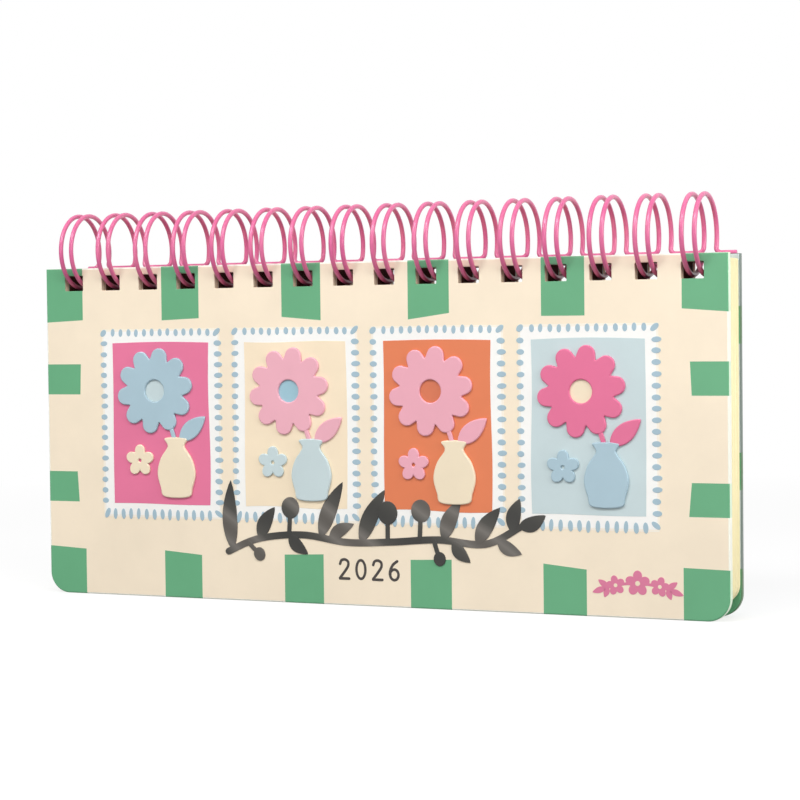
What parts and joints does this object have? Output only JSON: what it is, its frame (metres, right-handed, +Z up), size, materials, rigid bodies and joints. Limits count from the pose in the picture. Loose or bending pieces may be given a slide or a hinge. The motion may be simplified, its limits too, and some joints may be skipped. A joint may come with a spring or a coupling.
{
  "type": "flip desk calendar",
  "caption": "Landscape flip desk calendar: two board covers and stiff card leaves on a twin-loop wire binding along the top edge.",
  "frame": {"origin": "middle of the base of the closed calendar as it stands on its lower edges", "axes": "+X along the width and the loop axis, +Y from the front cover to the back cover, +Z up"},
  "size_m": [0.21, 0.0227, 0.1135],
  "materials": {
    "wire": "gloss",
    "wrap": "satin",
    "board": "matte",
    "endpaper": "matte",
    "card": "matte"
  },
  "bodies": {
    "back_cover": {"back_cover_wrap": "wrap", "back_cover_board": "board", "back_cover_endpaper": "endpaper", "wire_binding": "wire"},
    "front_cover": {"front_cover_wrap": "wrap", "front_cover_board": "board", "front_cover_endpaper": "endpaper"},
    "leaf_year": {"leaf_year": "card"},
    "leaf_january": {"leaf_january": "card"},
    "leaf_february": {"leaf_february": "card"},
    "leaf_march": {"leaf_march": "card"},
    "leaf_april": {"leaf_april": "card"},
    "leaf_may": {"leaf_may": "card"},
    "leaf_june": {"leaf_june": "card"},
    "leaf_july": {"leaf_july": "card"},
    "leaf_august": {"leaf_august": "card"},
    "leaf_september": {"leaf_september": "card"},
    "leaf_october": {"leaf_october": "card"},
    "leaf_november": {"leaf_november": "card"},
    "leaf_december": {"leaf_december": "card"}
  },
  "joints": [
    {"name": "leaf_year_flip", "type": "hinge", "parent": "back_cover", "child": "leaf_year", "pos_m": [0, 0, 0.1021], "axis": [-1, 0, 0], "range_deg": [0, 65]},
    {"name": "leaf_january_flip", "type": "hinge", "parent": "back_cover", "child": "leaf_january", "pos_m": [0, 0, 0.1021], "axis": [-1, 0, 0], "range_deg": [0, 60.01]},
    {"name": "leaf_february_flip", "type": "hinge", "parent": "back_cover", "child": "leaf_february", "pos_m": [0, 0, 0.1021], "axis": [-1, 0, 0], "range_deg": [0, 55.01]},
    {"name": "leaf_march_flip", "type": "hinge", "parent": "back_cover", "child": "leaf_march", "pos_m": [0, 0, 0.1021], "axis": [-1, 0, 0], "range_deg": [0, 50.01]},
    {"name": "leaf_april_flip", "type": "hinge", "parent": "back_cover", "child": "leaf_april", "pos_m": [0, 0, 0.1021], "axis": [-1, 0, 0], "range_deg": [0, 45.01]},
    {"name": "leaf_may_flip", "type": "hinge", "parent": "back_cover", "child": "leaf_may", "pos_m": [0, 0, 0.1021], "axis": [-1, 0, 0], "range_deg": [0, 40.01]},
    {"name": "leaf_june_flip", "type": "hinge", "parent": "back_cover", "child": "leaf_june", "pos_m": [0, 0, 0.1021], "axis": [-1, 0, 0], "range_deg": [0, 35.01]},
    {"name": "leaf_july_flip", "type": "hinge", "parent": "back_cover", "child": "leaf_july", "pos_m": [0, 0, 0.1021], "axis": [-1, 0, 0], "range_deg": [0, 30.01]},
    {"name": "leaf_august_flip", "type": "hinge", "parent": "back_cover", "child": "leaf_august", "pos_m": [0, 0, 0.1021], "axis": [-1, 0, 0], "range_deg": [0, 25.01]},
    {"name": "leaf_september_flip", "type": "hinge", "parent": "back_cover", "child": "leaf_september", "pos_m": [0, 0, 0.1021], "axis": [-1, 0, 0], "range_deg": [0, 20.01]},
    {"name": "leaf_october_flip", "type": "hinge", "parent": "back_cover", "child": "leaf_october", "pos_m": [0, 0, 0.1021], "axis": [-1, 0, 0], "range_deg": [0, 15.01]},
    {"name": "leaf_november_flip", "type": "hinge", "parent": "back_cover", "child": "leaf_november", "pos_m": [0, 0, 0.1021], "axis": [-1, 0, 0], "range_deg": [0, 10.01]},
    {"name": "leaf_december_flip", "type": "hinge", "parent": "back_cover", "child": "leaf_december", "pos_m": [0, 0, 0.1021], "axis": [-1, 0, 0], "range_deg": [0, 5.01]},
    {"name": "front_cover_flip", "type": "hinge", "parent": "leaf_year", "child": "front_cover", "pos_m": [0, 0, 0.1021], "axis": [-1, 0, 0], "range_deg": [0, 180]}
  ],
  "couplings": [
    {"joint": "leaf_january_flip", "follows": "leaf_year_flip", "ratio": 0.92308},
    {"joint": "leaf_february_flip", "follows": "leaf_year_flip", "ratio": 0.84615},
    {"joint": "leaf_march_flip", "follows": "leaf_year_flip", "ratio": 0.76923},
    {"joint": "leaf_april_flip", "follows": "leaf_year_flip", "ratio": 0.69231},
    {"joint": "leaf_may_flip", "follows": "leaf_year_flip", "ratio": 0.61538},
    {"joint": "leaf_june_flip", "follows": "leaf_year_flip", "ratio": 0.53846},
    {"joint": "leaf_july_flip", "follows": "leaf_year_flip", "ratio": 0.46154},
    {"joint": "leaf_august_flip", "follows": "leaf_year_flip", "ratio": 0.38461},
    {"joint": "leaf_september_flip", "follows": "leaf_year_flip", "ratio": 0.30769},
    {"joint": "leaf_october_flip", "follows": "leaf_year_flip", "ratio": 0.23077},
    {"joint": "leaf_november_flip", "follows": "leaf_year_flip", "ratio": 0.15385},
    {"joint": "leaf_december_flip", "follows": "leaf_year_flip", "ratio": 0.076923}
  ]
}
